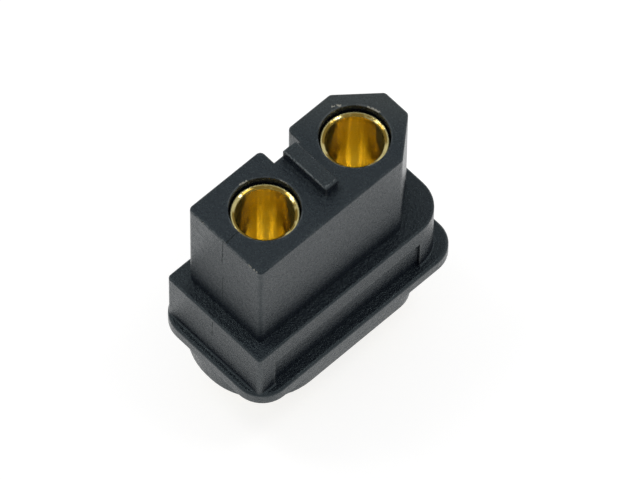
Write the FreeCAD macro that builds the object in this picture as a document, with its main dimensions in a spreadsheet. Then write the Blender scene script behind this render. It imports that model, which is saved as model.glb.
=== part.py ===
import FreeCAD, Part
import math
import os

import Sketcher

# Socket half of a two-pole battery lead connector, in millimetres.
# The connector stands on its solder cups with the mating face up.
# X runs along the length, from the square end to the chamfered end.
# Y runs from the side with the marking field to the side with the key groove.
# Z = 0 is the rim of the solder cups.

# Driving dimensions

SIZES = (
    ("contact_pitch", 7.2, "distance between the two contacts"),
    ("plug_bore", 3.5, "bore of a socket, for a 3.5 mm plug"),
    ("plug_depth", 9.0, "straight depth of a socket"),
    ("socket_wall", 0.29, "wall of the socket tube"),
    ("socket_clearance", 0.1, "gap all round between a socket tube and its hole"),
    ("mouth_recess", 0.52, "depth of the socket mouth below the mating face"),
    ("lead_width", 0.24, "width of the shallow lead-in cone at the socket mouth"),
    ("lead_depth", 0.08, "depth of that cone"),
    ("mouth_edge", 0.04, "chamfer outside the socket mouth"),
    ("drill_rise", 0.9, "height of the cone that the drill leaves in a bore"),
    ("collar_wall", 0.44, "height of the press-in collar above the socket tube"),
    ("collar_length", 3.0, "length of the press-in collar"),
    ("collar_lead", 0.2, "lead-in chamfer at the collar's front"),
    ("collar_seat", 1.45, "depth of the collar's seat below the flange top"),
    ("groove_width", 0.7, "width of the groove behind the collar"),
    ("groove_depth", 0.3, "depth of that groove below the solder cup's outside"),
    ("cup_bore", 3.6, "bore of a solder cup"),
    ("cup_wall", 0.55, "wall of a solder cup"),
    ("cup_depth", 4.6, "straight depth of a solder cup"),
    ("cup_reach", 4.0, "length of a solder cup outside the housing"),
    ("cup_edge", 0.1, "chamfer on the outer rim of a solder cup"),
    ("window_height", 2.6, "height of the solder window above the rim"),
    ("window_depth", 1.05, "depth of the solder window, from the cup's outside"),
    ("hole_chamfer", 0.02, "chamfer at the front edge of a socket hole"),
    ("rear_chamfer", 0.25, "chamfer at the rear edge of a contact hole"),
    ("block_length", 13.87, "length of the mating block"),
    ("block_width", 6.2, "width of the mating block"),
    ("block_height", 7.95, "height of the mating block"),
    ("block_shift", 0.07, "middle of the mating block, from the middle of the flange"),
    ("block_round", 0.35, "rounding of the mating block's upright corners"),
    ("chamfer_length", 2.48, "length of the polarising chamfers, along X"),
    ("chamfer_width", 2.12, "width of the polarising chamfers, along Y"),
    ("key_width", 2.07, "width of the key groove"),
    ("key_depth", 1.15, "depth of the key groove"),
    ("key_round", 0.35, "rounding of the key groove's outer corners"),
    ("rib_width", 1.0, "width of the rib on the mating face"),
    ("rib_length", 3.65, "length of the rib, from the key groove forwards"),
    ("rib_height", 0.8, "height of the rib"),
    ("rib_shift", 0.04, "middle of the rib, from the middle of the flange"),
    ("flange_length", 15.54, "length of the flange"),
    ("flange_width", 8.0, "width of the flange"),
    ("flange_height", 4.0, "height of the flange"),
    ("flange_round", 2.35, "corner radius of the flange at the chamfered end"),
    ("flange_corner", 0.3, "corner radius of the flange at the square end"),
    ("field_length", 11.8, "length of the bare marking field"),
    ("field_depth", 0.18, "depth of the marking field"),
    ("field_drop", 1.5, "top of the marking field, below the flange top"),
    ("field_shift", -0.6, "middle of the marking field, from the middle of the flange"),
    ("lip_length", 16.46, "length of the lip"),
    ("lip_width", 9.2, "width of the lip"),
    ("lip_thickness", 0.9, "thickness of the lip"),
    ("lip_corner", 1.9, "corner radius of the lip"),
    ("lip_round", 0.2, "rounding of the lip's top edge"),
    ("boss_length", 15.5, "length of the rear boss"),
    ("boss_width", 8.76, "width of the rear boss"),
    ("boss_height", 1.55, "height of the rear boss"),
    ("boss_shift", -0.43, "middle of the rear boss, from the middle of the flange"),
    ("boss_corner", 4.2, "corner radius of the rear boss at the square end"),
    ("boss_chamfer", 3.1, "chamfers of the rear boss at the other end"),
    ("boss_bend", 1.9, "rounding between a long side and a chamfer of the rear boss"),
    ("boss_tip", 0.8, "rounding of the outer corners of those chamfers"),
    ("boss_round", 0.2, "rounding of the rear boss's bottom edge"),
    ("edge_round", 0.14, "rounding of the moulding's other outer edges"),
    ("rib_round", 0.08, "rounding of the rib's top edge"),
    ("foot_round", 0.12, "hollow rounding at the foot of the flange"),
)

doc = FreeCAD.newDocument("battery_lead_connector")
sheet = doc.addObject("Spreadsheet::Sheet", "Sizes")
for row, (alias, size, meaning) in enumerate(SIZES, 1):
    sheet.set(f"A{row}", meaning)
    sheet.set(f"B{row}", str(size))
    sheet.setAlias(f"B{row}", alias)
doc.recompute()

# Heights and places that follow from the driving dimensions

BOSS_BOTTOM = "Sizes.cup_reach"
LIP_BOTTOM = f"{BOSS_BOTTOM} + Sizes.boss_height"
LIP_TOP = f"{LIP_BOTTOM} + Sizes.lip_thickness"
FLANGE_TOP = f"{LIP_TOP} + Sizes.flange_height"
MATING_FACE = f"{FLANGE_TOP} + Sizes.block_height"
SOCKET_MOUTH = f"{MATING_FACE} - Sizes.mouth_recess"
COLLAR_TOP = f"{FLANGE_TOP} - Sizes.collar_seat"

BLOCK_SQUARE_END = "Sizes.block_shift - Sizes.block_length / 2"
BLOCK_CHAMFERED_END = "Sizes.block_shift + Sizes.block_length / 2"
CHAMFER_START = f"{BLOCK_CHAMFERED_END} - Sizes.chamfer_length"
BLOCK_SIDE = "Sizes.block_width / 2"
CHAMFER_SIDE = f"{BLOCK_SIDE} - Sizes.chamfer_width"
KEY_FLOOR = f"{BLOCK_SIDE} - Sizes.key_depth"

SOCKET_RADIUS = "(Sizes.plug_bore / 2 + Sizes.socket_wall)"
SOCKET_HOLE_RADIUS = f"({SOCKET_RADIUS} + Sizes.socket_clearance)"
COLLAR_RADIUS = f"({SOCKET_RADIUS} + Sizes.collar_wall)"
CUP_RADIUS = "(Sizes.cup_bore / 2 + Sizes.cup_wall)"

POSITIVE_X = "-Sizes.contact_pitch / 2"
NEGATIVE_X = "Sizes.contact_pitch / 2"

TOUCHING = 1e-4


def value(expression):
    """The plain number that an expression on the sheet gives."""
    return float(sheet.evalExpression(expression))


def minus(expression):
    """The same length on the other side of the axis."""
    return f"-({expression})"


# Sketches


def new_sketch(body, name, plane_role, offset):
    """An empty sketch on one of the body's own planes, moved along its normal."""
    plane = next(part for part in body.Origin.OriginFeatures if part.Role == plane_role)
    sketch = body.newObject("Sketcher::SketchObject", name)
    sketch.AttachmentSupport = [(plane, "")]
    sketch.MapMode = "FlatFace"
    sketch.setExpression("AttachmentOffset.Base.z", offset)
    return sketch


def constrain(sketch, kind, places, expression):
    """Add one dimension to a sketch and tie it to the sheet."""
    index = sketch.addConstraint(Sketcher.Constraint(kind, *places, value(expression)))
    sketch.setExpression(f"Constraints[{index}]", expression)


def pin(sketch, curve, point, x, y):
    """Place a point by two dimensions from the sketch's origin, or on its upright axis."""
    if x is None:
        sketch.addConstraint(Sketcher.Constraint("PointOnObject", curve, point, -2))
    else:
        constrain(sketch, "DistanceX", (-1, 1, curve, point), x)
    constrain(sketch, "DistanceY", (-1, 1, curve, point), y)


def polygon(body, name, plane_role, offset, corners):
    """A closed outline of straight lines. A corner with no x lies on the upright axis."""
    sketch = new_sketch(body, name, plane_role, offset)
    points = [
        FreeCAD.Vector(0.0 if x is None else value(x), value(y), 0.0) for x, y in corners
    ]
    count = len(points)
    for index, point in enumerate(points):
        sketch.addGeometry(Part.LineSegment(point, points[(index + 1) % count]), False)
    for index in range(count):
        following = (index + 1) % count
        sketch.addConstraint(Sketcher.Constraint("Coincident", index, 2, following, 1))
    for index, (x, y) in enumerate(corners):
        pin(sketch, index, 1, x, y)
    return sketch


def rectangle(body, name, plane_role, offset, left, right, bottom, top):
    """A closed rectangle between four expressions."""
    corners = ((left, bottom), (right, bottom), (right, top), (left, top))
    return polygon(body, name, plane_role, offset, corners)


def rounded_rectangle(body, name, offset, end, side, left_radius, right_radius):
    """A centred rectangle on a level plane, with one corner radius at each end."""
    sketch = new_sketch(body, name, "XY_Plane", offset)
    upward = FreeCAD.Vector(0, 0, 1)
    reach = value(end)
    half = value(side)
    corners = (
        (reach, half, value(right_radius), 0),
        (-reach, half, value(left_radius), 1),
        (-reach, -half, value(left_radius), 2),
        (reach, -half, value(right_radius), 3),
    )
    arcs = []
    for x, y, radius, quarters in corners:
        centre = FreeCAD.Vector(
            math.copysign(abs(x) - radius, x), math.copysign(abs(y) - radius, y), 0
        )
        start = quarters * math.pi / 2
        circle = Part.Circle(centre, upward, radius)
        arcs.append(Part.ArcOfCircle(circle, start, start + math.pi / 2))
    for index, arc in enumerate(arcs):
        following = arcs[(index + 1) % 4]
        sketch.addGeometry(arc, False)
        sketch.addGeometry(Part.LineSegment(arc.EndPoint, following.StartPoint), False)
    for index in range(8):
        sketch.addConstraint(Sketcher.Constraint("Tangent", index, 2, (index + 1) % 8, 1))
    back, left, front, right = (1, 3, 5, 7)
    for line in (back, front):
        sketch.addConstraint(Sketcher.Constraint("Horizontal", line))
    constrain(sketch, "DistanceY", (-1, 1, back, 1), side)
    constrain(sketch, "DistanceY", (-1, 1, front, 1), minus(side))
    constrain(sketch, "DistanceX", (-1, 1, left, 1), minus(end))
    constrain(sketch, "DistanceX", (-1, 1, right, 1), end)
    for arc, radius in ((0, right_radius), (2, left_radius), (4, left_radius), (6, right_radius)):
        constrain(sketch, "Radius", (arc,), radius)
    return sketch


def circles(body, name, offset, centres, radius):
    """Circles of one radius, with their centres on the X axis of a level plane."""
    sketch = new_sketch(body, name, "XY_Plane", offset)
    upward = FreeCAD.Vector(0, 0, 1)
    for index, centre in enumerate(centres):
        middle = FreeCAD.Vector(value(centre), 0, 0)
        sketch.addGeometry(Part.Circle(middle, upward, value(radius)), False)
        sketch.addConstraint(Sketcher.Constraint("PointOnObject", index, 3, -1))
        constrain(sketch, "DistanceX", (-1, 1, index, 3), centre)
        constrain(sketch, "Radius", (index,), radius)
    return sketch


# Features


def pad(body, name, sketch, length):
    """Add material above a sketch."""
    feature = body.newObject("PartDesign::Pad", name)
    feature.Profile = sketch
    feature.setExpression("Length", length)
    doc.recompute()
    return feature


def pocket(body, name, sketch, length, along_normal=False, both_ways=False):
    """Cut material away against the sketch's normal, along it, or both ways."""
    before = body.Shape.Volume
    feature = body.newObject("PartDesign::Pocket", name)
    feature.Profile = sketch
    feature.Reversed = along_normal
    feature.Midplane = both_ways
    feature.setExpression("Length", length)
    doc.recompute()
    if feature.Shape.Volume > before - TOUCHING:
        raise ValueError(f"{name} cuts nothing")
    return feature


def edges_of(body, wanted):
    """The names of the body's edges that a test picks, and the feature that holds them."""
    feature = body.Tip
    names = [
        f"Edge{number}" for number, edge in enumerate(feature.Shape.Edges, 1) if wanted(edge)
    ]
    return feature, names


def fillet(body, name, radius, wanted):
    """Round the edges that a test picks."""
    base = edges_of(body, wanted)
    feature = body.newObject("PartDesign::Fillet", name)
    feature.Base = base
    feature.setExpression("Radius", radius)
    doc.recompute()
    return feature


def chamfer(body, name, size, wanted):
    """Bevel the edges that a test picks."""
    base = edges_of(body, wanted)
    feature = body.newObject("PartDesign::Chamfer", name)
    feature.Base = base
    feature.setExpression("Size", size)
    doc.recompute()
    return feature


def near(first, second):
    """Whether two numbers are the same place."""
    return abs(first - second) < TOUCHING


def at_height(level):
    """A test for edges that lie in one level plane."""
    height = value(level)

    def wanted(edge):
        return near(edge.BoundBox.ZMin, height) and near(edge.BoundBox.ZMax, height)

    return wanted


def foot_of(level, end, side):
    """A test for edges in one level plane, around the foot of a centred outline."""
    level_edge = at_height(level)
    far_end = value(end) + TOUCHING
    far_side = value(side) + TOUCHING

    def wanted(edge):
        box = edge.BoundBox
        along = max(-box.XMin, box.XMax)
        across = max(-box.YMin, box.YMax)
        return level_edge(edge) and along < far_end and across < far_side

    return wanted


def upright(bottom, top, corners):
    """A test for upright edges between two levels, at the given corners."""
    low = value(bottom)
    high = value(top)
    places = [(value(x), value(y)) for x, y in corners]

    def wanted(edge):
        box = edge.BoundBox
        if not (near(box.ZMin, low) and near(box.ZMax, high)):
            return False
        if box.XLength > TOUCHING or box.YLength > TOUCHING:
            return False
        return any(near(box.XMin, x) and near(box.YMin, y) for x, y in places)

    return wanted


def round_edge(level, radius):
    """A test for full circles of one radius at one level."""
    level_edge = at_height(level)
    size = value(radius)

    def wanted(edge):
        circle = isinstance(edge.Curve, Part.Circle)
        return circle and near(edge.Curve.Radius, size) and level_edge(edge)

    return wanted


# The moulded housing


def add_boss(body):
    """The rear boss, round at the square end and chamfered at the other."""
    side = "Sizes.boss_width / 2"
    left = "Sizes.boss_shift - Sizes.boss_length / 2"
    right = "Sizes.boss_shift + Sizes.boss_length / 2"
    bend = f"{right} - Sizes.boss_chamfer"
    tip_side = f"{side} - Sizes.boss_chamfer"
    outline = (
        (left, minus(side)),
        (bend, minus(side)),
        (right, minus(tip_side)),
        (right, tip_side),
        (bend, side),
        (left, side),
    )
    sketch = polygon(body, "boss_outline", "XY_Plane", BOSS_BOTTOM, outline)
    pad(body, "boss", sketch, "Sizes.boss_height")
    corners = (
        ("boss_corners", "Sizes.boss_corner", (outline[0], outline[5])),
        ("boss_bends", "Sizes.boss_bend", (outline[1], outline[4])),
        ("boss_tips", "Sizes.boss_tip", (outline[2], outline[3])),
    )
    for name, radius, places in corners:
        fillet(body, name, radius, upright(BOSS_BOTTOM, LIP_BOTTOM, places))
    fillet(body, "boss_bottom_edge", "Sizes.boss_round", at_height(BOSS_BOTTOM))


def add_lip(body):
    """The thin lip with its four round corners."""
    corner = "Sizes.lip_corner"
    sketch = rounded_rectangle(
        body,
        "lip_outline",
        LIP_BOTTOM,
        "Sizes.lip_length / 2",
        "Sizes.lip_width / 2",
        corner,
        corner,
    )
    pad(body, "lip", sketch, "Sizes.lip_thickness")
    fillet(body, "lip_top_edge", "Sizes.lip_round", at_height(LIP_TOP))


def add_flange(body):
    """The flange, square at one end and round at the other, with its bare field."""
    side = "Sizes.flange_width / 2"
    end = "Sizes.flange_length / 2"
    sketch = rounded_rectangle(
        body,
        "flange_outline",
        LIP_BOTTOM,
        end,
        side,
        "Sizes.flange_corner",
        "Sizes.flange_round",
    )
    pad(body, "flange", sketch, "Sizes.lip_thickness + Sizes.flange_height")
    fillet(body, "flange_top_edge", "Sizes.edge_round", at_height(FLANGE_TOP))
    fillet(body, "flange_foot", "Sizes.foot_round", foot_of(LIP_TOP, end, side))
    field = rectangle(
        body,
        "field_outline",
        "XZ_Plane",
        f"{side} + Sizes.foot_round",
        "Sizes.field_shift - Sizes.field_length / 2",
        "Sizes.field_shift + Sizes.field_length / 2",
        LIP_TOP,
        f"{FLANGE_TOP} - Sizes.field_drop",
    )
    pocket(body, "marking_field", field, "Sizes.field_depth + Sizes.foot_round")


def add_block(body):
    """The mating block: square at one end, chamfered at the other, grooved at the back."""
    key_left = "-Sizes.key_width / 2"
    key_right = "Sizes.key_width / 2"
    outline = (
        (BLOCK_SQUARE_END, minus(BLOCK_SIDE)),
        (CHAMFER_START, minus(BLOCK_SIDE)),
        (BLOCK_CHAMFERED_END, minus(CHAMFER_SIDE)),
        (BLOCK_CHAMFERED_END, CHAMFER_SIDE),
        (CHAMFER_START, BLOCK_SIDE),
        (key_right, BLOCK_SIDE),
        (key_right, KEY_FLOOR),
        (key_left, KEY_FLOOR),
        (key_left, BLOCK_SIDE),
        (BLOCK_SQUARE_END, BLOCK_SIDE),
    )
    sketch = polygon(body, "block_outline", "XY_Plane", FLANGE_TOP, outline)
    pad(body, "block", sketch, "Sizes.block_height")
    rounded = (
        ("block_corners", "Sizes.block_round", outline[:5] + outline[9:]),
        ("key_corners", "Sizes.key_round", (outline[5], outline[8])),
    )
    for name, radius, places in rounded:
        fillet(body, name, radius, upright(FLANGE_TOP, MATING_FACE, places))
    fillet(body, "block_top_edge", "Sizes.edge_round", at_height(MATING_FACE))


def add_rib(body):
    """The low rib that runs forwards between the sockets from the key groove."""
    sketch = rectangle(
        body,
        "rib_outline",
        "XY_Plane",
        MATING_FACE,
        "Sizes.rib_shift - Sizes.rib_width / 2",
        "Sizes.rib_shift + Sizes.rib_width / 2",
        f"{KEY_FLOOR} - Sizes.edge_round - Sizes.rib_length",
        f"{KEY_FLOOR} - Sizes.edge_round",
    )
    pad(body, "rib", sketch, "Sizes.rib_height")
    top = f"{MATING_FACE} + Sizes.rib_height"
    fillet(body, "rib_top_edge", "Sizes.rib_round", at_height(top))


def cut_contact_holes(body):
    """Two stepped holes: the step is the seat of a contact's collar."""
    centres = (POSITIVE_X, NEGATIVE_X)
    front = circles(body, "socket_hole_outline", MATING_FACE, centres, SOCKET_HOLE_RADIUS)
    pocket(body, "socket_holes", front, f"{MATING_FACE} - ({COLLAR_TOP})")
    rear = circles(body, "rear_hole_outline", BOSS_BOTTOM, centres, COLLAR_RADIUS)
    pocket(body, "rear_holes", rear, f"{COLLAR_TOP} - ({BOSS_BOTTOM})", along_normal=True)
    chamfer(
        body, "socket_hole_edges", "Sizes.hole_chamfer", round_edge(MATING_FACE, SOCKET_HOLE_RADIUS)
    )
    chamfer(body, "rear_hole_edges", "Sizes.rear_chamfer", round_edge(BOSS_BOTTOM, COLLAR_RADIUS))


def make_housing():
    """One moulding in glass-filled plastic, built from the rear to the mating face."""
    body = doc.addObject("PartDesign::Body", "housing")
    add_boss(body)
    add_lip(body)
    add_flange(body)
    add_block(body)
    add_rib(body)
    cut_contact_holes(body)
    return body


# The turned contacts


def contact_profile():
    """Half the section of a contact: solder cup, groove, collar and plain socket tube."""
    collar_bottom = f"{COLLAR_TOP} - Sizes.collar_length"
    groove_bottom = f"{collar_bottom} - Sizes.groove_width"
    groove_radius = f"{CUP_RADIUS} - Sizes.groove_depth"
    socket_floor = f"{SOCKET_MOUTH} - Sizes.plug_depth"
    return (
        (None, "Sizes.cup_depth + Sizes.drill_rise"),
        ("Sizes.cup_bore / 2", "Sizes.cup_depth"),
        ("Sizes.cup_bore / 2", "0"),
        (f"{CUP_RADIUS} - Sizes.cup_edge", "0"),
        (CUP_RADIUS, "Sizes.cup_edge"),
        (CUP_RADIUS, groove_bottom),
        (groove_radius, groove_bottom),
        (groove_radius, collar_bottom),
        (COLLAR_RADIUS, collar_bottom),
        (COLLAR_RADIUS, f"{COLLAR_TOP} - Sizes.collar_lead"),
        (f"{COLLAR_RADIUS} - Sizes.collar_lead", COLLAR_TOP),
        (SOCKET_RADIUS, COLLAR_TOP),
        (SOCKET_RADIUS, f"{SOCKET_MOUTH} - Sizes.mouth_edge"),
        (f"{SOCKET_RADIUS} - Sizes.mouth_edge", SOCKET_MOUTH),
        ("Sizes.plug_bore / 2 + Sizes.lead_width", SOCKET_MOUTH),
        ("Sizes.plug_bore / 2", f"{SOCKET_MOUTH} - Sizes.lead_depth"),
        ("Sizes.plug_bore / 2", socket_floor),
        (None, f"{socket_floor} - Sizes.drill_rise"),
    )


def make_contact(name, place):
    """One turned contact, with a solder window milled into the front of its cup."""
    body = doc.addObject("PartDesign::Body", name)
    profile = polygon(body, f"{name}_profile", "XZ_Plane", "0", contact_profile())
    turned = body.newObject("PartDesign::Revolution", f"{name}_turned")
    turned.Profile = profile
    turned.ReferenceAxis = (profile, ["V_Axis"])
    turned.Angle = 360
    doc.recompute()
    window_floor = minus(f"{CUP_RADIUS} - Sizes.window_depth")
    clear = minus(f"{CUP_RADIUS} * 2")
    ramp_top = f"Sizes.window_height + {CUP_RADIUS} + Sizes.window_depth"
    outline = (
        (clear, "-Sizes.window_height"),
        (window_floor, "-Sizes.window_height"),
        (window_floor, "Sizes.window_height"),
        (clear, ramp_top),
    )
    window = polygon(body, f"{name}_window_outline", "YZ_Plane", "0", outline)
    pocket(body, f"{name}_window", window, f"{CUP_RADIUS} * 4", both_ways=True)
    body.setExpression("Placement.Base.x", place)
    doc.recompute()
    return body


parts = [
    make_housing(),
    make_contact("positive_contact", POSITIVE_X),
    make_contact("negative_contact", NEGATIVE_X),
]

# Every object has to be sound before anything is written

doc.recompute()
for item in doc.Objects:
    if "Invalid" in item.State or "Error" in item.State:
        raise ValueError(f"{item.Name} failed: {item.State}")
for part in parts:
    if part.Shape.isNull() or not part.Shape.isValid() or len(part.Shape.Solids) != 1:
        raise ValueError(f"{part.Label} is not one valid solid")

os.makedirs("parts", exist_ok=True)
for part in parts:
    part.Shape.exportStep(f"parts/{part.Label}.step")
    box = part.Shape.optimalBoundingBox()
    print(
        f"{part.Label}: {box.XLength:.2f} x {box.YLength:.2f} x {box.ZLength:.2f} mm,"
        f" {part.Shape.Volume:.1f} mm3"
    )
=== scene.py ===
"""Looks of the socket half of a battery lead connector: finishes, mould marks, studio and camera.

Lengths are in millimetres where nothing else is said, and MM turns them into metres.
"""

from __future__ import annotations

import logging
import math
from dataclasses import dataclass, field
from enum import Enum

import bmesh
import bpy
from mathutils import Matrix, Vector

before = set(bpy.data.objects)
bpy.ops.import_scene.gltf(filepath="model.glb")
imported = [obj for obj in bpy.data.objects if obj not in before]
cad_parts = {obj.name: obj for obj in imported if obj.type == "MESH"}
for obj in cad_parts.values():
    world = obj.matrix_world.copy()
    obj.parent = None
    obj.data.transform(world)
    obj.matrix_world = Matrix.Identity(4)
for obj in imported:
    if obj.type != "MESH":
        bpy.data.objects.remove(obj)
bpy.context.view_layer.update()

log = logging.getLogger("connector")

MM = 0.001
EDGE_SAMPLES = 8

Colour = tuple[float, float, float]
Point = tuple[float, float, float]
Span = tuple[float, float]

BLACK: Colour = (0.0, 0.0, 0.0)

FACE_HEIGHT = 18.4
BLOCK_END = -6.865
FLANGE_END = -7.77


class Plating(Enum):
    """The tones of the gold on a contact."""

    BRIGHT = "the lighter tone of the turned faces, and their edges"
    DEEP = "the deeper tone of the turned faces"
    POLISHED = "the outer edge of a mouth"
    # Painted shade: a darker tone on the inner edge of a mouth that stands in for the dark reflections of
    # its lead-in.
    PAINTED_SHADE = "the browner inner edge of a mouth"


class Blemish(Enum):
    """What a thin mark on the housing is."""

    SEAM = "a fine dark seam where the melt met in the mould"
    # Also the painted glints at the holes' far rims, which stand in for reflections of the gold mouths.
    NICK_AND_GLINT = "a small pale nick or burr"
    RUB = "an edge that is paler than the skin"


@dataclass(frozen=True)
class Mark:
    """A thin mark that runs along straight pieces on the housing's skin.

    Attributes:
        kind: what it is.
        path: its corners.
        width: its width.
    """

    kind: Blemish
    path: tuple[Point, ...]
    width: float


def on_face(*points: Span) -> tuple[Point, ...]:
    """Put points, given by X and Y, on the mating face."""
    return tuple((x, y, FACE_HEIGHT) for x, y in points)


def on_end(end: float, *points: Span) -> tuple[Point, ...]:
    """Put points, given by Y and height, on the square end that lies at the given X."""
    return tuple((end, y, z) for y, z in points)


MARKS = (
    Mark(Blemish.SEAM, on_face((-5.75, -0.05), (-6.1, -0.07), (-6.5, -0.12), (-6.8, -0.12)), 0.07),
    Mark(Blemish.SEAM, on_end(BLOCK_END, (0.08, 18.3), (0.1, 16.9), (0.17, 15.8)), 0.07),
    Mark(Blemish.SEAM, on_end(BLOCK_END, (0.04, 14.4), (0.14, 13.5), (0.12, 11.2)), 0.05),
    Mark(Blemish.SEAM, on_end(FLANGE_END, (0.04, 10.1), (0.07, 8.5)), 0.06),
    Mark(Blemish.NICK_AND_GLINT, ((-6.83, 1.95, 18.34), (-6.83, 1.82, 18.34)), 0.07),
    Mark(Blemish.NICK_AND_GLINT, ((-6.84, -2.1, 18.34), (-6.82, -2.75, 18.34)), 0.06),
    # Painted glints: these four pale flecks at the far rims of the holes stand in for reflections of the
    # gold mouths in the holes' walls.
    Mark(Blemish.NICK_AND_GLINT, on_face((-3.52, 2.17), (-3.08, 2.1)), 0.1),
    Mark(Blemish.NICK_AND_GLINT, on_face((-1.62, 0.8), (-1.5, 0.3)), 0.08),
    Mark(Blemish.NICK_AND_GLINT, on_face((4.05, 2.35), (4.45, 2.12)), 0.12),
    Mark(Blemish.NICK_AND_GLINT, on_face((5.55, 0.95), (5.82, 0.2)), 0.12),
    Mark(Blemish.RUB, ((-0.43, 1.9, 19.17), (-0.43, -1.66, 19.17), (0.5, -1.68, 19.17)), 0.1),
    Mark(Blemish.RUB, ((-6.84, -2.0, 18.36), (-6.84, 2.8, 18.36)), 0.07),
)


@dataclass(frozen=True)
class Layers:
    """The finer layers of a noise pattern.

    Attributes:
        detail: their number.
        roughness: their strength.
    """

    detail: float
    roughness: float = 0.5


@dataclass(frozen=True)
class EffectValues:
    """Fixed values of the effects that the finishes share.

    Attributes:
        edge_openness: share of inward rays that hit nothing where an edge starts, and where it is full.
        edge_scale: pattern that breaks up the edges, in cycles to the metre.
        edge_layers: its finer layers.
        edge_cut: level of that pattern under which an edge is unworn, for a breakup of 1.
        edge_softness: how far above that level an edge is fully worn.
        coarse_share: scale of the coarse patches, as a share of the fine speckle's.
        coarse_layers: finer layers of the patches.
        fine_layers: finer layers of the speckle.
        line_scale: pattern that makes a line ragged, in cycles to the metre.
        line_layers: its finer layers.
        line_levels: levels of that pattern where a line has no width, and its whole width.
        line_core: share of a line's width that is solid.
    """

    edge_openness: Span = (0.97, 0.55)
    edge_scale: float = 700.0
    edge_layers: Layers = Layers(3.0, 0.6)
    edge_cut: float = 0.5
    edge_softness: float = 0.25
    coarse_share: float = 0.25
    coarse_layers: Layers = Layers(3.0, 0.6)
    fine_layers: Layers = Layers(4.0, 0.75)
    line_scale: float = 7000.0
    line_layers: Layers = Layers(2.0)
    line_levels: Span = (0.34, 0.62)
    line_core: float = 0.5


@dataclass(frozen=True)
class PlasticFinish:
    """Black glass-filled plastic with a fine mould texture.

    Attributes:
        dark: colour of the moulded skin.
        pale: colour of its light mottle.
        worn: colour of the paler edges.
        nick_and_glint: colour of pale nicks, and of the painted glints at the far rims of the holes that
            stand in for reflections of the gold.
        painted_sheen: colour of a painted sheen that makes the far end of the mating face paler, standing in
            for a soft reflection.
        painted_sheen_reach: X plus Y where the painted sheen starts, and where it is full.
        face_levels: heights between which the mating face takes the painted sheen on.
        rib_levels: heights between which the rib takes its own painted sheen on.
        rib_painted_sheen: strength of the painted sheen on the rib.
        index: refractive index, which sets the strength of reflections.
        gloss: strength of the reflections that face the viewer.
        sheen: tint of those reflections.
        roughness: lowest and highest roughness.
        rough_levels: levels of the mottle that have that roughness.
        speckle_levels: levels of the speckle that are dark, and pale.
        grain_size: size of the mould texture.
        grain_height: depth of the mould texture.
        dent_height: depth of its broad unevenness.
        seam_depth: depth of a seam.
        seam_roughness: roughness of a seam.
        edge_width: width of the paler edges.
        edge_breakup: how far those edges are broken up.
        edge_strength: how pale they are, as a share of their colour.
        rub_strength: how pale the marked edges are, as a share of their colour.
    """

    dark: Colour = (0.0018, 0.0028, 0.0074)
    pale: Colour = (0.0045, 0.006, 0.0118)
    worn: Colour = (0.12, 0.128, 0.13)
    # Pale nicks, and the painted glints at the far rims of the holes.
    nick_and_glint: Colour = (0.3, 0.285, 0.24)
    # Painted sheen: a paler colour that stands in for a soft reflection on the far end of the mating face
    # and, more weakly, on the rib.
    painted_sheen: Colour = (0.03, 0.032, 0.032)
    painted_sheen_reach: Span = (2.5, 8.5)
    face_levels: Span = (18.25, 18.38)
    rib_levels: Span = (18.9, 19.1)
    rib_painted_sheen: float = 0.25
    index: float = 1.45
    gloss: float = 0.58
    sheen: Colour = (0.78, 0.97, 1.0)
    roughness: Span = (0.2, 0.3)
    rough_levels: Span = (0.75, 1.25)
    speckle_levels: Span = (0.36, 0.66)
    grain_size: float = 0.13
    grain_height: float = 0.034
    dent_height: float = 0.035
    seam_depth: float = 0.04
    seam_roughness: float = 0.7
    edge_width: float = 0.16
    edge_breakup: float = 0.75
    edge_strength: float = 0.6
    rub_strength: float = 0.7


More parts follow.
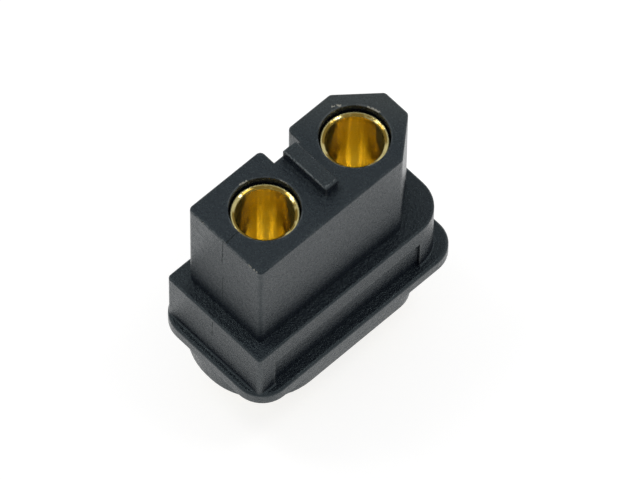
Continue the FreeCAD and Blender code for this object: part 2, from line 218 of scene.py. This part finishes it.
@dataclass(frozen=True)
class GoldFinish:
    """Thin gold plating on turned brass.

    Attributes:
        tones: colour of each plating tone.
        tone_size: size of the patches of tone.
        tone_levels: levels of the patches that are deep, and bright.
        metal: how metallic the plating is.
        smear: how far reflections are drawn out.
        smear_axis: tangent for that: the contact's axis with a trace of X, so that level faces have one.
        roughness: lowest and highest roughness of the turned faces.
        polished: roughness of the mouths.
        matt: roughness of the solder cups.
        mouth_level: height of a mouth's lower end.
        mouth_blur: height over which it fades in.
        cup_level: height of a solder cup's upper end.
        cup_blur: height over which it fades out.
        ring_pitch: distance between turning marks.
        ring_height: depth of the turning marks.
        ring_stretch: scale of their pattern along each axis.
        ring_layers: its finer layers.
        ring_levels: levels of it that have the lowest and the highest roughness.
        streak_width: width of the streaks along the bore.
        streak_height: depth of those streaks.
        streak_stretch: scale of their pattern along each axis.
        streak_shift: where in the noise the streaks are taken, in metres.
        streak_layers: its finer layers.
        mouth_round: softening of the edges at the mouth.
        edge_width: width of the bright edges.
        edge_breakup: how far those edges are broken up.
        axis_shift: distance of each contact's axis from the middle.
        painted_shade_radius: outer radius of the painted shade on the inner edge of a mouth.
        painted_shade_blur: width over which it fades out.
        painted_shade_scale: pattern that breaks it up, in cycles to the metre.
        painted_shade_layers: that pattern's finer layers.
        painted_shade_levels: levels of that pattern where the painted shade is weakest, and full.
        painted_shade_least: how strong it is at its weakest.
    """

    tones: dict[Plating, Colour] = field(
        default_factory=lambda: {
            Plating.BRIGHT: (0.96, 0.8, 0.27),
            Plating.DEEP: (0.9, 0.72, 0.16),
            Plating.POLISHED: (1.0, 0.88, 0.42),
            # Painted shade for the inner edges of the mouths.
            Plating.PAINTED_SHADE: (0.3, 0.2, 0.035),
        }
    )
    tone_size: float = 0.3
    tone_levels: Span = (0.35, 0.65)
    metal: float = 1.0
    smear: float = 1.0
    smear_axis: Point = (0.001, 0.0, 1.0)
    roughness: Span = (0.15, 0.21)
    polished: float = 0.12
    matt: float = 0.36
    mouth_level: float = 17.78
    mouth_blur: float = 0.02
    cup_level: float = 4.6
    cup_blur: float = 0.3
    ring_pitch: float = 0.06
    ring_height: float = 0.00002
    ring_stretch: Point = (0.02, 0.02, 1.0)
    ring_layers: Layers = Layers(2.0)
    ring_levels: Span = (0.3, 0.7)
    streak_width: float = 0.36
    streak_height: float = 0.02
    streak_stretch: Point = (1.0, 1.0, 0.02)
    streak_shift: Point = (0.0031, 0.0017, 0.0)
    streak_layers: Layers = Layers(1.0)
    mouth_round: float = 0.22
    edge_width: float = 0.08
    edge_breakup: float = 0.4
    axis_shift: float = 3.6
    # Where the painted shade on the mouths' inner edges lies, and how it is broken up.
    painted_shade_radius: float = 1.96
    painted_shade_blur: float = 0.07
    painted_shade_scale: float = 900.0
    painted_shade_layers: Layers = Layers(2.0)
    painted_shade_levels: Span = (0.36, 0.5)
    painted_shade_least: float = 0.25


class Graph:
    """A node tree with short calls for adding and joining nodes."""

    def __init__(self, tree: bpy.types.NodeTree) -> None:
        """Keep the tree.

        Args:
            tree: the material's, world's or group's node tree.
        """
        self.tree = tree

    def add(self, kind: str, **settings: object) -> bpy.types.Node:
        """Add a node.

        Args:
            kind: Blender's name of the node type.
            **settings: properties of the node itself.

        Returns:
            The new node.
        """
        node = self.tree.nodes.new(kind)
        for name, setting in settings.items():
            setattr(node, name, setting)
        return node

    def feed(self, socket: bpy.types.NodeSocket, source: object) -> None:
        """Join a source to an input socket, or write a plain value into it.

        Args:
            socket: the input socket.
            source: an output socket or a value.
        """
        if isinstance(source, bpy.types.NodeSocket):
            self.tree.links.new(source, socket)
        else:
            socket.default_value = source

    def places(self) -> bpy.types.NodeSocket:
        """Add the object's own coordinates, in metres."""
        return self.add("ShaderNodeTexCoord").outputs["Object"]

    def split(self, source: bpy.types.NodeSocket) -> tuple[bpy.types.NodeSocket, ...]:
        """Take a vector apart.

        Args:
            source: the vector.

        Returns:
            The sockets of its X, Y and Z.
        """
        node = self.add("ShaderNodeSeparateXYZ")
        self.feed(node.inputs[0], source)
        return tuple(node.outputs)

    def maths(self, operation: str, *sources: object, clamp: bool = False) -> bpy.types.NodeSocket:
        """Add a Math node.

        Args:
            operation: Blender's name of the operation.
            *sources: sockets or numbers, in order.
            clamp: whether the result stays between 0 and 1.

        Returns:
            The result's socket.
        """
        node = self.add("ShaderNodeMath", operation=operation, use_clamp=clamp)
        for socket, source in zip(node.inputs, sources):
            self.feed(socket, source)
        return node.outputs[0]

    def vector(self, operation: str, *sources: object) -> bpy.types.Node:
        """Add a Vector Math node.

        Args:
            operation: Blender's name of the operation.
            *sources: sockets or vectors, in order.

        Returns:
            The new node.
        """
        node = self.add("ShaderNodeVectorMath", operation=operation)
        for socket, source in zip(node.inputs, sources):
            self.feed(socket, source)
        return node

    def ramp(
        self, source: object, low: object, high: object, start: object = 0.0, end: object = 1.0
    ) -> bpy.types.NodeSocket:
        """Move a number from one range to another, smoothly and clamped.

        Args:
            source: the number.
            low: where the first range starts.
            high: where the first range ends.
            start: what low becomes.
            end: what high becomes.

        Returns:
            The result's socket.
        """
        node = self.add("ShaderNodeMapRange", interpolation_type="SMOOTHSTEP")
        for socket, value in zip(node.inputs, (source, low, high, start, end)):
            self.feed(socket, value)
        return node.outputs[0]

    def noise(self, place: object, scale: object, layers: Layers) -> bpy.types.NodeSocket:
        """Add a noise pattern.

        Args:
            place: socket with the coordinates.
            scale: size of the pattern, as cycles for each unit of the coordinates.
            layers: its finer layers.

        Returns:
            The pattern's socket, around 0.5.
        """
        node = self.add("ShaderNodeTexNoise")
        self.feed(node.inputs["Vector"], place)
        self.feed(node.inputs["Scale"], scale)
        self.feed(node.inputs["Detail"], layers.detail)
        self.feed(node.inputs["Roughness"], layers.roughness)
        return node.outputs[0]

    def blend(self, factor: object, first: object, second: object) -> bpy.types.NodeSocket:
        """Mix two colours.

        Args:
            factor: share of the second colour.
            first: first colour.
            second: second colour.

        Returns:
            The mixed colour's socket.
        """
        node = self.add("ShaderNodeMix", data_type="RGBA")
        self.feed(node.inputs[0], factor)
        for socket, colour in zip((node.inputs[6], node.inputs[7]), (first, second)):
            self.feed(socket, opaque(colour) if isinstance(colour, tuple) else colour)
        return node.outputs[2]

    def bump(self, height: object, distance: object, normal: object = None) -> bpy.types.NodeSocket:
        """Turn a height into a surface normal.

        Args:
            height: socket with the height, from 0 to 1.
            distance: the height's real size, in metres.
            normal: another normal to build on.

        Returns:
            The normal's socket.
        """
        node = self.add("ShaderNodeBump")
        self.feed(node.inputs["Height"], height)
        self.feed(node.inputs["Distance"], distance)
        if normal is not None:
            self.feed(node.inputs["Normal"], normal)
        return node.outputs[0]


def opaque(colour: Colour) -> tuple[float, float, float, float]:
    """Give a colour its alpha of 1."""
    return (*colour, 1.0)


class SharedEffects:
    """Node groups that the finishes place with their own values."""

    def __init__(self, values: EffectValues) -> None:
        """Build the groups once.

        Args:
            values: their fixed values.
        """
        self.values = values
        self.edges = self._outer_edges()
        self.mottle = self._mottle()
        self.line = self._line()

    @staticmethod
    def _group(
        name: str, numbers: tuple[str, ...], outputs: tuple[str, ...], vectors: tuple[str, ...] = ()
    ) -> tuple[Graph, bpy.types.Node, bpy.types.Node]:
        """Start a node group.

        Args:
            name: the group's name.
            numbers: names of the inputs that take a number.
            outputs: names of the outputs, which give numbers.
            vectors: names of the inputs that take a vector.

        Returns:
            The graph, its input node and its output node.
        """
        tree = bpy.data.node_groups.new(name, "ShaderNodeTree")
        for names, way, kind in (
            (numbers, "INPUT", "NodeSocketFloat"),
            (vectors, "INPUT", "NodeSocketVector"),
            (outputs, "OUTPUT", "NodeSocketFloat"),
        ):
            for entry in names:
                tree.interface.new_socket(entry, in_out=way, socket_type=kind)
        graph = Graph(tree)
        return graph, graph.add("NodeGroupInput"), graph.add("NodeGroupOutput")

    def _outer_edges(self) -> bpy.types.NodeTree:
        """A mask that is 1 on outer edges, broken up a little.

        Returns:
            The group.
        """
        graph, given, result = self._group("outer_edges", ("Width", "Breakup"), ("Mask",))
        inwards = graph.add("ShaderNodeAmbientOcclusion", samples=EDGE_SAMPLES, inside=True, only_local=True)
        graph.feed(inwards.inputs["Distance"], given.outputs["Width"])
        outer = graph.ramp(inwards.outputs["AO"], *self.values.edge_openness)
        patches = graph.noise(graph.places(), self.values.edge_scale, self.values.edge_layers)
        low = graph.maths("MULTIPLY", given.outputs["Breakup"], self.values.edge_cut)
        kept = graph.ramp(patches, low, graph.maths("ADD", low, self.values.edge_softness))
        graph.feed(result.inputs["Mask"], graph.maths("MULTIPLY", outer, kept, clamp=True))
        return graph.tree

    def _mottle(self) -> bpy.types.NodeTree:
        """Coarse patches and fine speckle, both around 0.5.

        Returns:
            The group.
        """
        graph, given, result = self._group("mottle", ("Size",), ("Patches", "Speckle"))
        place = graph.places()
        fine = graph.maths("DIVIDE", 1.0, given.outputs["Size"])
        coarse = graph.maths("MULTIPLY", fine, self.values.coarse_share)
        graph.feed(result.inputs["Patches"], graph.noise(place, coarse, self.values.coarse_layers))
        graph.feed(result.inputs["Speckle"], graph.noise(place, fine, self.values.fine_layers))
        return graph.tree

    def _line(self) -> bpy.types.NodeTree:
        """A mask that is 1 along one straight line, with a ragged width.

        Returns:
            The group.
        """
        graph, given, result = self._group("line_mark", ("Width",), ("Mask",), ("Start", "End"))
        place = graph.places()
        start = given.outputs["Start"]
        along = graph.vector("SUBTRACT", given.outputs["End"], start).outputs[0]
        offset = graph.vector("SUBTRACT", place, start).outputs[0]
        reach = graph.vector("DOT_PRODUCT", offset, along).outputs["Value"]
        whole = graph.vector("DOT_PRODUCT", along, along).outputs["Value"]
        share = graph.maths("DIVIDE", reach, whole, clamp=True)
        step = graph.vector("SCALE", along)
        graph.feed(step.inputs["Scale"], share)
        away = graph.vector("DISTANCE", offset, step.outputs[0]).outputs["Value"]
        pattern = graph.noise(place, self.values.line_scale, self.values.line_layers)
        edge = graph.maths("MULTIPLY", given.outputs["Width"], graph.ramp(pattern, *self.values.line_levels))
        core = graph.maths("MULTIPLY", edge, self.values.line_core)
        graph.feed(result.inputs["Mask"], graph.ramp(away, core, edge, 1.0, 0.0))
        return graph.tree

    @staticmethod
    def place(graph: Graph, tree: bpy.types.NodeTree, **values: float | Point) -> bpy.types.Node:
        """Put a group into a material.

        Args:
            graph: the material's graph.
            tree: the group.
            **values: values for the group's inputs.

        Returns:
            The group's node.
        """
        node = graph.add("ShaderNodeGroup")
        node.node_tree = tree
        for name, number in values.items():
            node.inputs[name].default_value = number
        return node

    def edge_mask(self, graph: Graph, width: float, breakup: float) -> bpy.types.NodeSocket:
        """Place the mask of outer edges.

        Args:
            graph: the material's graph.
            width: width of the edges.
            breakup: how far they are broken up, from 0 to 1.

        Returns:
            The mask's socket.
        """
        return self.place(graph, self.edges, Width=width * MM, Breakup=breakup).outputs["Mask"]

    def marks_mask(self, graph: Graph, kind: Blemish) -> bpy.types.NodeSocket:
        """Join the masks of all marks of one kind.

        Args:
            graph: the material's graph.
            kind: the kind of mark.

        Returns:
            The joined mask's socket.
        """
        joined = None
        for mark in MARKS:
            if mark.kind is not kind:
                continue
            for start, end in zip(mark.path, mark.path[1:]):
                ends = {"Start": Vector(start) * MM, "End": Vector(end) * MM}
                line = self.place(graph, self.line, Width=mark.width * MM, **ends)
                mask = line.outputs["Mask"]
                joined = mask if joined is None else graph.maths("MAXIMUM", joined, mask)
        return joined


class Finishes:
    """The materials of the connector."""

    def __init__(self, effects: SharedEffects) -> None:
        """Build each material once.

        Args:
            effects: the shared node groups.
        """
        self.effects = effects
        self.plastic = self._plastic("moulded_plastic", PlasticFinish())
        self.gold = self._gold("gold_plating", GoldFinish())

    @staticmethod
    def _material(name: str) -> tuple[bpy.types.Material, Graph, bpy.types.Node]:
        """Start a material with one Principled shader.

        Args:
            name: the material's name.

        Returns:
            The material, its graph and its shader node.
        """
        material = bpy.data.materials.new(name)
        material.use_nodes = True
        material.node_tree.nodes.clear()
        graph = Graph(material.node_tree)
        shader = graph.add("ShaderNodeBsdfPrincipled")
        output = graph.add("ShaderNodeOutputMaterial")
        graph.feed(output.inputs["Surface"], shader.outputs[0])
        return material, graph, shader

    def _plastic(self, name: str, finish: PlasticFinish) -> bpy.types.Material:
        """Black plastic: mottled skin, grain, marks, paler edges and a painted sheen.

        Args:
            name: the material's name.
            finish: its colours and sizes.

        Returns:
            The material.
        """
        material, graph, shader = self._material(name)
        mottle = self.effects.place(graph, self.effects.mottle, Size=finish.grain_size * MM)
        patches, speckle = mottle.outputs["Patches"], mottle.outputs["Speckle"]
        seams = self.effects.marks_mask(graph, Blemish.SEAM)
        colour = self._plastic_colour(graph, finish, speckle)
        graph.feed(shader.inputs["Base Color"], graph.blend(seams, colour, BLACK))
        both = graph.maths("ADD", speckle, patches)
        rough = graph.ramp(both, *finish.rough_levels, *finish.roughness)
        graph.feed(shader.inputs["Roughness"], graph.ramp(seams, 0.0, 1.0, rough, finish.seam_roughness))
        uneven = graph.bump(patches, finish.dent_height * MM)
        grain = graph.bump(speckle, finish.grain_height * MM, uneven)
        sunk = graph.maths("SUBTRACT", 1.0, seams)
        graph.feed(shader.inputs["Normal"], graph.bump(sunk, finish.seam_depth * MM, grain))
        shader.inputs["IOR"].default_value = finish.index
        shader.inputs["Specular IOR Level"].default_value = finish.gloss
        shader.inputs["Specular Tint"].default_value = opaque(finish.sheen)
        return material

    def _plastic_colour(
        self, graph: Graph, finish: PlasticFinish, speckle: bpy.types.NodeSocket
    ) -> bpy.types.NodeSocket:
        """The skin's colour with its painted sheen, paler edges, nicks and painted glints, but no seams.

        Args:
            graph: the material's graph.
            finish: the colours.
            speckle: the fine speckle.

        Returns:
            The colour's socket.
        """
        skin = graph.blend(graph.ramp(speckle, *finish.speckle_levels), finish.dark, finish.pale)
        # Painted sheen: the far end of the mating face is made paler to stand in for a soft reflection.
        skin = graph.blend(self._painted_sheen(graph, finish), skin, finish.painted_sheen)
        edges = self.effects.edge_mask(graph, finish.edge_width, finish.edge_breakup)
        edges = graph.maths("MULTIPLY", edges, finish.edge_strength)
        colour = graph.blend(edges, skin, finish.worn)
        rubs = self.effects.marks_mask(graph, Blemish.RUB)
        colour = graph.blend(graph.maths("MULTIPLY", rubs, finish.rub_strength), colour, finish.worn)
        # Pale nicks, and painted glints at the holes' far rims that stand in for reflections of the gold.
        return graph.blend(self.effects.marks_mask(graph, Blemish.NICK_AND_GLINT), colour, finish.nick_and_glint)

    @staticmethod
    def _painted_sheen(graph: Graph, finish: PlasticFinish) -> bpy.types.NodeSocket:
        """A mask for the painted sheen, which grows towards the far end of the mating face and is weak on
        the rib.

        Args:
            graph: the material's graph.
            finish: its places and strength.

        Returns:
            The mask's socket.
        """
        x, y, z = graph.split(graph.places())
        far = graph.ramp(graph.maths("ADD", x, y), *(place * MM for place in finish.painted_sheen_reach))
        face = graph.ramp(z, *(level * MM for level in finish.face_levels))
        rib = graph.ramp(z, *(level * MM for level in finish.rib_levels), 0.0, finish.rib_painted_sheen)
        return graph.maths("MULTIPLY_ADD", far, face, rib, clamp=True)

    def _gold(self, name: str, finish: GoldFinish) -> bpy.types.Material:
        """Gold plating: turning marks, streaks, uneven tone, bright edges and a painted shade on the mouths'
        inner edges.

        Args:
            name: the material's name.
            finish: its colours and sizes.

        Returns:
            The material.
        """
        material, graph, shader = self._material(name)
        place = graph.places()
        height = graph.split(place)[2]
        bottom = finish.mouth_level * MM
        mouth = graph.ramp(height, bottom, bottom + finish.mouth_blur * MM)
        top = finish.cup_level * MM
        cup = graph.ramp(height, top - finish.cup_blur * MM, top, 1.0, 0.0)
        graph.feed(shader.inputs["Base Color"], self._gold_colour(graph, finish, mouth))
        along = graph.vector("MULTIPLY", place, finish.ring_stretch).outputs[0]
        rings = graph.noise(along, 1.0 / (finish.ring_pitch * MM), finish.ring_layers)
        around = graph.vector("MULTIPLY_ADD", place, finish.streak_stretch, finish.streak_shift).outputs[0]
        streaks = graph.noise(around, 1.0 / (finish.streak_width * MM), finish.streak_layers)
        rough = graph.ramp(rings, *finish.ring_levels, *finish.roughness)
        rough = graph.ramp(cup, 0.0, 1.0, rough, finish.matt)
        graph.feed(shader.inputs["Roughness"], graph.ramp(mouth, 0.0, 1.0, rough, finish.polished))
        soft = graph.add("ShaderNodeBevel", samples=EDGE_SAMPLES)
        soft.inputs["Radius"].default_value = finish.mouth_round * MM
        drawn = graph.bump(streaks, finish.streak_height * MM, soft.outputs[0])
        graph.feed(shader.inputs["Normal"], graph.bump(rings, finish.ring_height * MM, drawn))
        upright = graph.add("ShaderNodeCombineXYZ")
        for socket, number in zip(upright.inputs, finish.smear_axis):
            socket.default_value = number
        graph.feed(shader.inputs["Tangent"], upright.outputs[0])
        shader.inputs["Anisotropic"].default_value = finish.smear
        shader.inputs["Metallic"].default_value = finish.metal
        return material

    def _gold_colour(
        self, graph: Graph, finish: GoldFinish, mouth: bpy.types.NodeSocket
    ) -> bpy.types.NodeSocket:
        """The plating's colour on the turned faces, the edges and the mouths, with a painted shade on the
        mouths' inner edges.

        Args:
            graph: the material's graph.
            finish: the tones.
            mouth: a mask that is 1 on the mouths.

        Returns:
            The colour's socket.
        """
        tones = finish.tones
        mottle = self.effects.place(graph, self.effects.mottle, Size=finish.tone_size * MM)
        tone = graph.ramp(mottle.outputs["Patches"], *finish.tone_levels)
        colour = graph.blend(tone, tones[Plating.DEEP], tones[Plating.BRIGHT])
        edges = self.effects.edge_mask(graph, finish.edge_width, finish.edge_breakup)
        colour = graph.blend(edges, colour, tones[Plating.BRIGHT])
        colour = graph.blend(mouth, colour, tones[Plating.POLISHED])
        # Painted shade: the inner edge of each mouth is darkened to stand in for the dark reflections of its
        # lead-in.
        painted_shade = graph.maths("MULTIPLY", mouth, self._painted_shade_mask(graph, finish))
        return graph.blend(painted_shade, colour, tones[Plating.PAINTED_SHADE])

    @staticmethod
    def _painted_shade_mask(graph: Graph, finish: GoldFinish) -> bpy.types.NodeSocket:
        """A mask for the painted shade that is 1 close to a contact's bore, broken up a little around it.

        Args:
            graph: the material's graph.
            finish: the radii.

        Returns:
            The mask's socket.
        """
        place = graph.places()
        x, y = graph.split(place)[:2]
        sideways = graph.maths("SUBTRACT", graph.maths("ABSOLUTE", x), finish.axis_shift * MM)
        squares = graph.maths("MULTIPLY", sideways, sideways)
        radius = graph.maths("SQRT", graph.maths("MULTIPLY_ADD", y, y, squares))
        outer = finish.painted_shade_radius * MM
        close = graph.ramp(radius, outer - finish.painted_shade_blur * MM, outer, 1.0, 0.0)
        pattern = graph.noise(place, finish.painted_shade_scale, finish.painted_shade_layers)
        broken = graph.ramp(pattern, *finish.painted_shade_levels, finish.painted_shade_least, 1.0)
        return graph.maths("MULTIPLY", close, broken)


@dataclass(frozen=True)
class Connector:
    """The housing and the two contacts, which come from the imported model.

    Attributes:
        finishes: the materials.
        housing_node: name of the housing.
        contact_nodes: names of the contacts.
    """

    finishes: Finishes
    housing_node: str = "housing"
    contact_nodes: tuple[str, ...] = ("positive_contact", "negative_contact")

    def dress(self) -> None:
        """Give the carried-over pieces their finishes."""
        self._paint(self.housing_node, self.finishes.plastic)
        for node in self.contact_nodes:
            self._paint(node, self.finishes.gold)

    @staticmethod
    def _paint(node: str, material: bpy.types.Material) -> None:
        """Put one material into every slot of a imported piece.

        Args:
            node: the piece's name.
            material: its finish.
        """
        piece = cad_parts[node]
        for slot in piece.material_slots:
            slot.material = material
        log.info("dressed %s", node)


@dataclass(frozen=True)
class Softbox:
    """A square lamp that faces the connector.

    Attributes:
        place: its place, in metres.
        size: its side, in metres.
        power: its power, in watts.
    """

    place: Point
    size: float
    power: float

    def build(self, name: str) -> None:
        """Add the lamp.

        Args:
            name: its name.
        """
        light = bpy.data.lights.new(name, "AREA")
        light.size = self.size
        light.energy = self.power
        lamp = bpy.data.objects.new(name, light)
        lamp.location = self.place
        lamp.rotation_euler = Vector(self.place).to_track_quat("Z", "Y").to_euler()
        bpy.context.scene.collection.objects.link(lamp)


@dataclass(frozen=True)
class Studio:
    """A plain white floor, a soft surround and soft lamps.

    Attributes:
        floor_size: side of the floor, in metres.
        floor_colour: colour of the floor under the lamps.
        floor_lift: glow that makes the floor white to the camera, in reflections and through clear things.
        horizon: strength of the surround at the horizon.
        zenith: strength of the surround overhead.
        zenith_start: upward part of a direction from which the surround has that strength.
        lamps: the lamps.
    """

    floor_size: float = 4.0
    floor_colour: Colour = (0.36, 0.36, 0.36)
    floor_lift: float = 0.76
    horizon: float = 1.0
    zenith: float = 0.72
    zenith_start: float = 0.75
    lamps: tuple[Softbox, ...] = (
        Softbox((0.15, -0.14, 0.5), 0.13, 0.35),
        Softbox((-0.12, 0.22, 0.48), 0.13, 0.35),
    )

    def build(self) -> None:
        """Add the floor, the surround and the lamps."""
        self._floor()
        self._surround()
        for number, lamp in enumerate(self.lamps, 1):
            lamp.build(f"softbox_{number}")

    def _floor(self) -> None:
        """Add a flat floor that shows white and keeps the connector's shadow."""
        mesh = bpy.data.meshes.new("floor")
        shape = bmesh.new()
        bmesh.ops.create_grid(shape, x_segments=1, y_segments=1, size=self.floor_size / 2)
        shape.to_mesh(mesh)
        shape.free()
        mesh.materials.append(self._floor_material())
        floor = bpy.data.objects.new("floor", mesh)
        bpy.context.scene.collection.objects.link(floor)

    def _floor_material(self) -> bpy.types.Material:
        """A matt floor with a glow that lights nothing.

        Returns:
            The material.
        """
        material = bpy.data.materials.new("pale_floor")
        material.use_nodes = True
        material.node_tree.nodes.clear()
        graph = Graph(material.node_tree)
        matt = graph.add("ShaderNodeBsdfDiffuse")
        matt.inputs["Color"].default_value = opaque(self.floor_colour)
        rays = graph.add("ShaderNodeLightPath")
        seen = rays.outputs["Is Camera Ray"]
        for kind in ("Is Transmission Ray", "Is Glossy Ray"):
            seen = graph.maths("MAXIMUM", seen, rays.outputs[kind])
        glow = graph.add("ShaderNodeEmission")
        graph.feed(glow.inputs["Strength"], graph.maths("MULTIPLY", seen, self.floor_lift))
        both = graph.add("ShaderNodeAddShader")
        graph.feed(both.inputs[0], matt.outputs[0])
        graph.feed(both.inputs[1], glow.outputs[0])
        output = graph.add("ShaderNodeOutputMaterial")
        graph.feed(output.inputs["Surface"], both.outputs[0])
        return material

    def _surround(self) -> None:
        """Add a pale surround, white at the horizon and softer overhead."""
        world = bpy.data.worlds.new("surround")
        world.use_nodes = True
        world.node_tree.nodes.clear()
        graph = Graph(world.node_tree)
        upward = graph.split(graph.add("ShaderNodeTexCoord").outputs["Generated"])[2]
        background = graph.add("ShaderNodeBackground")
        level = graph.ramp(upward, 0.0, self.zenith_start, self.horizon, self.zenith)
        graph.feed(background.inputs["Strength"], level)
        output = graph.add("ShaderNodeOutputWorld")
        graph.feed(output.inputs["Surface"], background.outputs[0])
        bpy.context.scene.world = world


@dataclass(frozen=True)
class Viewpoint:
    """A long lens at the photograph's viewing angle.

    Attributes:
        azimuth: turn round the connector, in degrees.
        elevation: height above the horizon, in degrees.
        roll: tilt of the camera, in degrees.
        focal_pixels: focal length, in pixels of the frame.
        frame_pixels: width of the frame, in pixels.
        sensor_width: width of the sensor.
        distance: distance from the aim point.
        across: how far the aim point is moved sideways.
        upward: how far the aim point is moved up.
        aim: the aim point.
        clip: nearest and farthest distance that is seen, in metres.
    """

    azimuth: float = -44.2
    elevation: float = 59.6
    roll: float = 0.88
    focal_pixels: float = 8172.9
    frame_pixels: int = 640
    sensor_width: float = 36.0
    distance: float = 475.9
    across: float = -0.585
    upward: float = 3.927
    aim: Point = (0.0, 0.0, FACE_HEIGHT)
    clip: Span = (0.01, 50.0)

    def build(self) -> None:
        """Add the camera and make it the scene's own."""
        camera = bpy.data.cameras.new("camera")
        camera.sensor_width = self.sensor_width
        camera.sensor_fit = "HORIZONTAL"
        camera.lens = self.focal_pixels / self.frame_pixels * camera.sensor_width
        camera.clip_start, camera.clip_end = self.clip
        axes = self._axes()
        offset = axes @ Vector((-self.across, -self.upward, self.distance))
        place = (Vector(self.aim) + offset) * MM
        view = bpy.data.objects.new("camera", camera)
        view.matrix_world = Matrix.Translation(place) @ axes.to_4x4()
        bpy.context.scene.collection.objects.link(view)
        bpy.context.scene.camera = view

    def _axes(self) -> Matrix:
        """Work out the camera's own axes.

        Returns:
            A matrix whose columns point right, up and back.
        """
        turn = math.radians(self.azimuth)
        rise = math.radians(self.elevation)
        back = Vector((math.sin(turn) * math.cos(rise), -math.cos(turn) * math.cos(rise), math.sin(rise)))
        right = Vector((math.cos(turn), math.sin(turn), 0.0))
        axes = Matrix((right, back.cross(right), back)).transposed()
        return axes @ Matrix.Rotation(math.radians(self.roll), 3, "Z")


def main() -> None:
    """Dress the connector and set up the studio and the camera."""
    logging.basicConfig(level=logging.INFO, format="%(message)s")
    bpy.context.scene.view_settings.view_transform = "Standard"
    finishes = Finishes(SharedEffects(EffectValues()))
    Connector(finishes).dress()
    Studio().build()
    Viewpoint().build()


if __name__ == "__main__":
    main()
